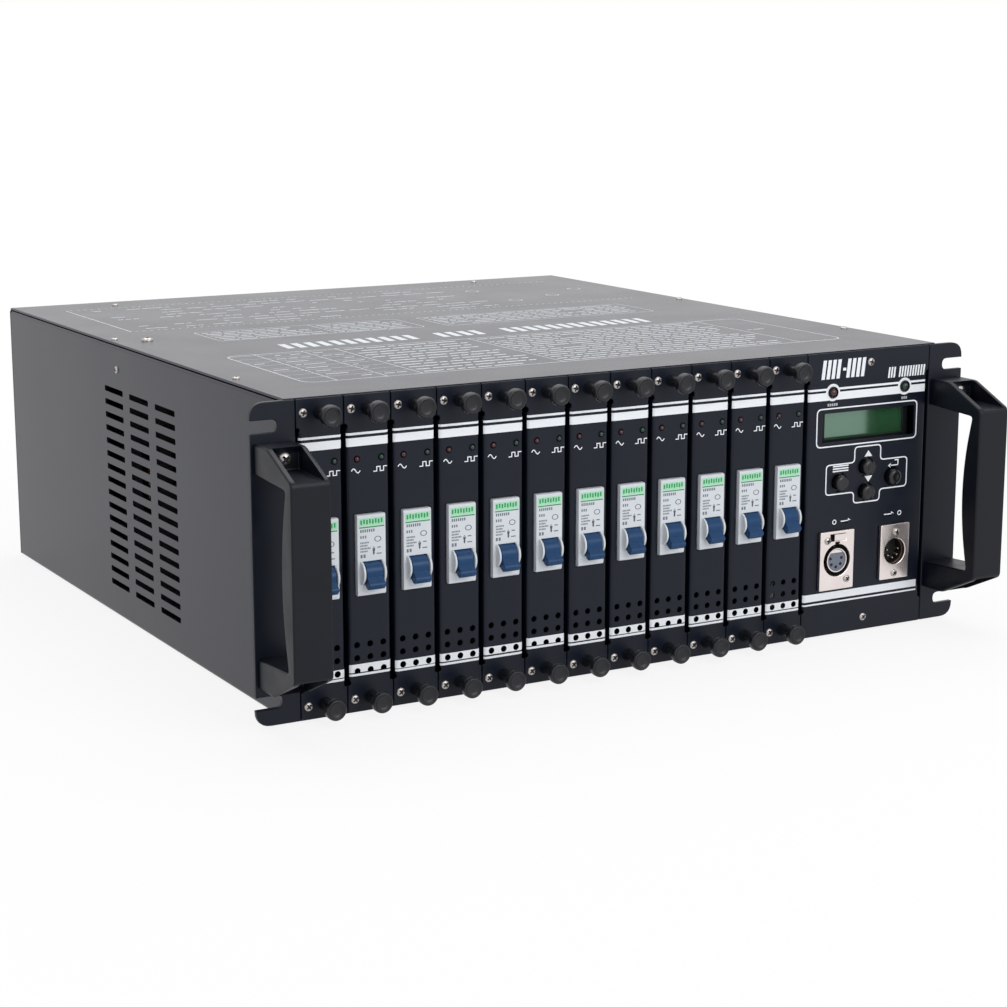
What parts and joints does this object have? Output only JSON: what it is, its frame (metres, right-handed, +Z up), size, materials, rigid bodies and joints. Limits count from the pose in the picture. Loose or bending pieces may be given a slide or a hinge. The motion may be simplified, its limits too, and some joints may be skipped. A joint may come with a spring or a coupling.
{
  "type": "dimmer pack",
  "caption": "Rack-mount stage lighting dimmer pack with plug-in channel modules, breakers, control panel, display, data sockets and bow handles.",
  "frame": {"origin": "middle of the case's underside", "axes": "+X to the right seen from the front, +Y to the rear, +Z up"},
  "size_m": [0.4826, 0.5376, 0.177],
  "materials": {
    "case_paint": "fine textured matte",
    "plate_paint": "satin",
    "module_plate": "satin black paint",
    "handle_plastic": "satin moulded",
    "black_plastic": "satin moulded",
    "breaker_plastic": "satin moulded",
    "toggle_plastic": "satin moulded",
    "nickel": "satin nickel plate",
    "zinc_casting": "die cast, painted",
    "circuit_board": "solder mask",
    "display_green": "liquid crystal behind glass"
  },
  "bodies": {
    "case": {"chassis": "case_paint", "top_cover": "case_paint", "rear_panel": "case_paint", "rack_ear_left": "plate_paint", "rack_ear_right": "plate_paint", "handle_left": "handle_plastic", "handle_right": "handle_plastic", "control_panel": "plate_paint", "display_module": "display_green", "control_board": "circuit_board", "dmx_out_socket": "nickel", "dmx_in_socket": "nickel", "card_guide_lower": "black_plastic", "card_guide_upper": "black_plastic", "backplane": "circuit_board", "fan_housing": "black_plastic", "output_socket": "zinc_casting", "mains_gland": "black_plastic"},
    "channel_01": {"module_01": "module_plate", "breaker_01": "breaker_plastic"},
    "toggle_01": {"breaker_toggle_01": "toggle_plastic"},
    "channel_02": {"module_02": "module_plate", "breaker_02": "breaker_plastic"},
    "toggle_02": {"breaker_toggle_02": "toggle_plastic"},
    "channel_03": {"module_03": "module_plate", "breaker_03": "breaker_plastic"},
    "toggle_03": {"breaker_toggle_03": "toggle_plastic"},
    "channel_04": {"module_04": "module_plate", "breaker_04": "breaker_plastic"},
    "toggle_04": {"breaker_toggle_04": "toggle_plastic"},
    "channel_05": {"module_05": "module_plate", "breaker_05": "breaker_plastic"},
    "toggle_05": {"breaker_toggle_05": "toggle_plastic"},
    "channel_06": {"module_06": "module_plate", "breaker_06": "breaker_plastic"},
    "toggle_06": {"breaker_toggle_06": "toggle_plastic"},
    "channel_07": {"module_07": "module_plate", "breaker_07": "breaker_plastic"},
    "toggle_07": {"breaker_toggle_07": "toggle_plastic"},
    "channel_08": {"module_08": "module_plate", "breaker_08": "breaker_plastic"},
    "toggle_08": {"breaker_toggle_08": "toggle_plastic"},
    "channel_09": {"module_09": "module_plate", "breaker_09": "breaker_plastic"},
    "toggle_09": {"breaker_toggle_09": "toggle_plastic"},
    "channel_10": {"module_10": "module_plate", "breaker_10": "breaker_plastic"},
    "toggle_10": {"breaker_toggle_10": "toggle_plastic"},
    "channel_11": {"module_11": "module_plate", "breaker_11": "breaker_plastic"},
    "toggle_11": {"breaker_toggle_11": "toggle_plastic"},
    "channel_12": {"module_12": "module_plate", "breaker_12": "breaker_plastic"},
    "toggle_12": {"breaker_toggle_12": "toggle_plastic"},
    "button_up": {"button_up": "black_plastic"},
    "button_down": {"button_down": "black_plastic"},
    "button_menu": {"button_menu": "black_plastic"},
    "button_escape": {"button_escape": "black_plastic"},
    "latch": {"dmx_out_latch": "nickel"},
    "rotor": {"fan_rotor": "black_plastic"}
  },
  "joints": [
    {"name": "module_01_slide", "type": "slide", "parent": "case", "child": "channel_01", "axis": [0, -1, 0], "range_m": [0, 0.298]},
    {"name": "toggle_01_tilt", "type": "hinge", "parent": "channel_01", "child": "toggle_01", "pos_m": [-0.201, -0.2325, 0.0788], "axis": [-1, 0, 0], "range_deg": [0, 80]},
    {"name": "module_02_slide", "type": "slide", "parent": "case", "child": "channel_02", "axis": [0, -1, 0], "range_m": [0, 0.298]},
    {"name": "toggle_02_tilt", "type": "hinge", "parent": "channel_02", "child": "toggle_02", "pos_m": [-0.173, -0.2325, 0.0788], "axis": [-1, 0, 0], "range_deg": [0, 80]},
    {"name": "module_03_slide", "type": "slide", "parent": "case", "child": "channel_03", "axis": [0, -1, 0], "range_m": [0, 0.298]},
    {"name": "toggle_03_tilt", "type": "hinge", "parent": "channel_03", "child": "toggle_03", "pos_m": [-0.145, -0.2325, 0.0788], "axis": [-1, 0, 0], "range_deg": [0, 80]},
    {"name": "module_04_slide", "type": "slide", "parent": "case", "child": "channel_04", "axis": [0, -1, 0], "range_m": [0, 0.298]},
    {"name": "toggle_04_tilt", "type": "hinge", "parent": "channel_04", "child": "toggle_04", "pos_m": [-0.117, -0.2325, 0.0788], "axis": [-1, 0, 0], "range_deg": [0, 80]},
    {"name": "module_05_slide", "type": "slide", "parent": "case", "child": "channel_05", "axis": [0, -1, 0], "range_m": [0, 0.298]},
    {"name": "toggle_05_tilt", "type": "hinge", "parent": "channel_05", "child": "toggle_05", "pos_m": [-0.089, -0.2325, 0.0788], "axis": [-1, 0, 0], "range_deg": [0, 80]},
    {"name": "module_06_slide", "type": "slide", "parent": "case", "child": "channel_06", "axis": [0, -1, 0], "range_m": [0, 0.298]},
    {"name": "toggle_06_tilt", "type": "hinge", "parent": "channel_06", "child": "toggle_06", "pos_m": [-0.061, -0.2325, 0.0788], "axis": [-1, 0, 0], "range_deg": [0, 80]},
    {"name": "module_07_slide", "type": "slide", "parent": "case", "child": "channel_07", "axis": [0, -1, 0], "range_m": [0, 0.298]},
    {"name": "toggle_07_tilt", "type": "hinge", "parent": "channel_07", "child": "toggle_07", "pos_m": [-0.033, -0.2325, 0.0788], "axis": [-1, 0, 0], "range_deg": [0, 80]},
    {"name": "module_08_slide", "type": "slide", "parent": "case", "child": "channel_08", "axis": [0, -1, 0], "range_m": [0, 0.298]},
    {"name": "toggle_08_tilt", "type": "hinge", "parent": "channel_08", "child": "toggle_08", "pos_m": [-0.005, -0.2325, 0.0788], "axis": [-1, 0, 0], "range_deg": [0, 80]},
    {"name": "module_09_slide", "type": "slide", "parent": "case", "child": "channel_09", "axis": [0, -1, 0], "range_m": [0, 0.298]},
    {"name": "toggle_09_tilt", "type": "hinge", "parent": "channel_09", "child": "toggle_09", "pos_m": [0.023, -0.2325, 0.0788], "axis": [-1, 0, 0], "range_deg": [0, 80]},
    {"name": "module_10_slide", "type": "slide", "parent": "case", "child": "channel_10", "axis": [0, -1, 0], "range_m": [0, 0.298]},
    {"name": "toggle_10_tilt", "type": "hinge", "parent": "channel_10", "child": "toggle_10", "pos_m": [0.051, -0.2325, 0.0788], "axis": [-1, 0, 0], "range_deg": [0, 80]},
    {"name": "module_11_slide", "type": "slide", "parent": "case", "child": "channel_11", "axis": [0, -1, 0], "range_m": [0, 0.298]},
    {"name": "toggle_11_tilt", "type": "hinge", "parent": "channel_11", "child": "toggle_11", "pos_m": [0.079, -0.2325, 0.0788], "axis": [-1, 0, 0], "range_deg": [0, 80]},
    {"name": "module_12_slide", "type": "slide", "parent": "case", "child": "channel_12", "axis": [0, -1, 0], "range_m": [0, 0.298]},
    {"name": "toggle_12_tilt", "type": "hinge", "parent": "channel_12", "child": "toggle_12", "pos_m": [0.107, -0.2325, 0.0788], "axis": [-1, 0, 0], "range_deg": [0, 80]},
    {"name": "button_up_press", "type": "slide", "parent": "case", "child": "button_up", "axis": [0, 1, 0], "range_m": [0, 0.0012], "stiffness_N_per_m": 400},
    {"name": "button_down_press", "type": "slide", "parent": "case", "child": "button_down", "axis": [0, 1, 0], "range_m": [0, 0.0012], "stiffness_N_per_m": 400},
    {"name": "button_menu_press", "type": "slide", "parent": "case", "child": "button_menu", "axis": [0, 1, 0], "range_m": [0, 0.0012], "stiffness_N_per_m": 400},
    {"name": "button_escape_press", "type": "slide", "parent": "case", "child": "button_escape", "axis": [0, 1, 0], "range_m": [0, 0.0012], "stiffness_N_per_m": 400},
    {"name": "dmx_out_latch_press", "type": "slide", "parent": "case", "child": "latch", "axis": [0, 1, 0], "range_m": [0, 0.0014], "stiffness_N_per_m": 400},
    {"name": "fan_spin", "type": "hinge", "parent": "case", "child": "rotor", "pos_m": [-0.13, 0.218, 0.0885], "axis": [0, 1, 0], "continuous": true}
  ]
}
